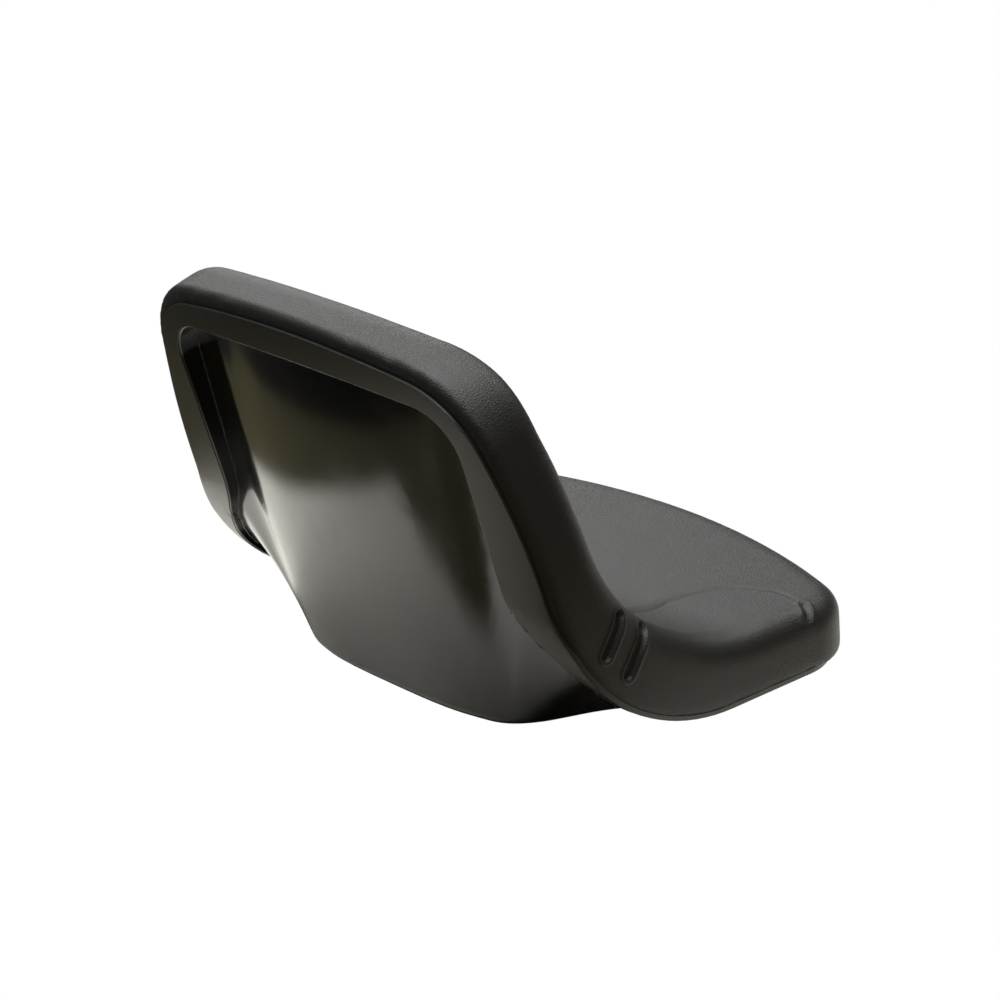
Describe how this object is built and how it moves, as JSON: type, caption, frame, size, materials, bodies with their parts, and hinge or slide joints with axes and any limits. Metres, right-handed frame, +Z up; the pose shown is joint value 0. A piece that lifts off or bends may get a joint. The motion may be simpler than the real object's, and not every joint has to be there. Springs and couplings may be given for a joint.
{
  "type": "tractor bucket seat",
  "caption": "Medium-back bucket seat with a moulded black foam cushion on a deep-drawn, gloss black steel pan that bolts to a garden tractor's seat base.",
  "frame": {"origin": "the middle of the four mounting holes, on the pan's underside, which stands on z = 0", "axes": "+X across the seat to the sitter's left, -Y the way the sitter faces, +Z up"},
  "size_m": [0.474, 0.4432, 0.3436],
  "materials": {
    "pan_paint": "gloss",
    "cushion_skin": "matte",
    "nut_steel": "satin"
  },
  "bodies": {
    "root": {"seat_pan": "pan_paint", "seat_cushion": "cushion_skin", "mounting_nuts": "nut_steel"}
  },
  "joints": []
}
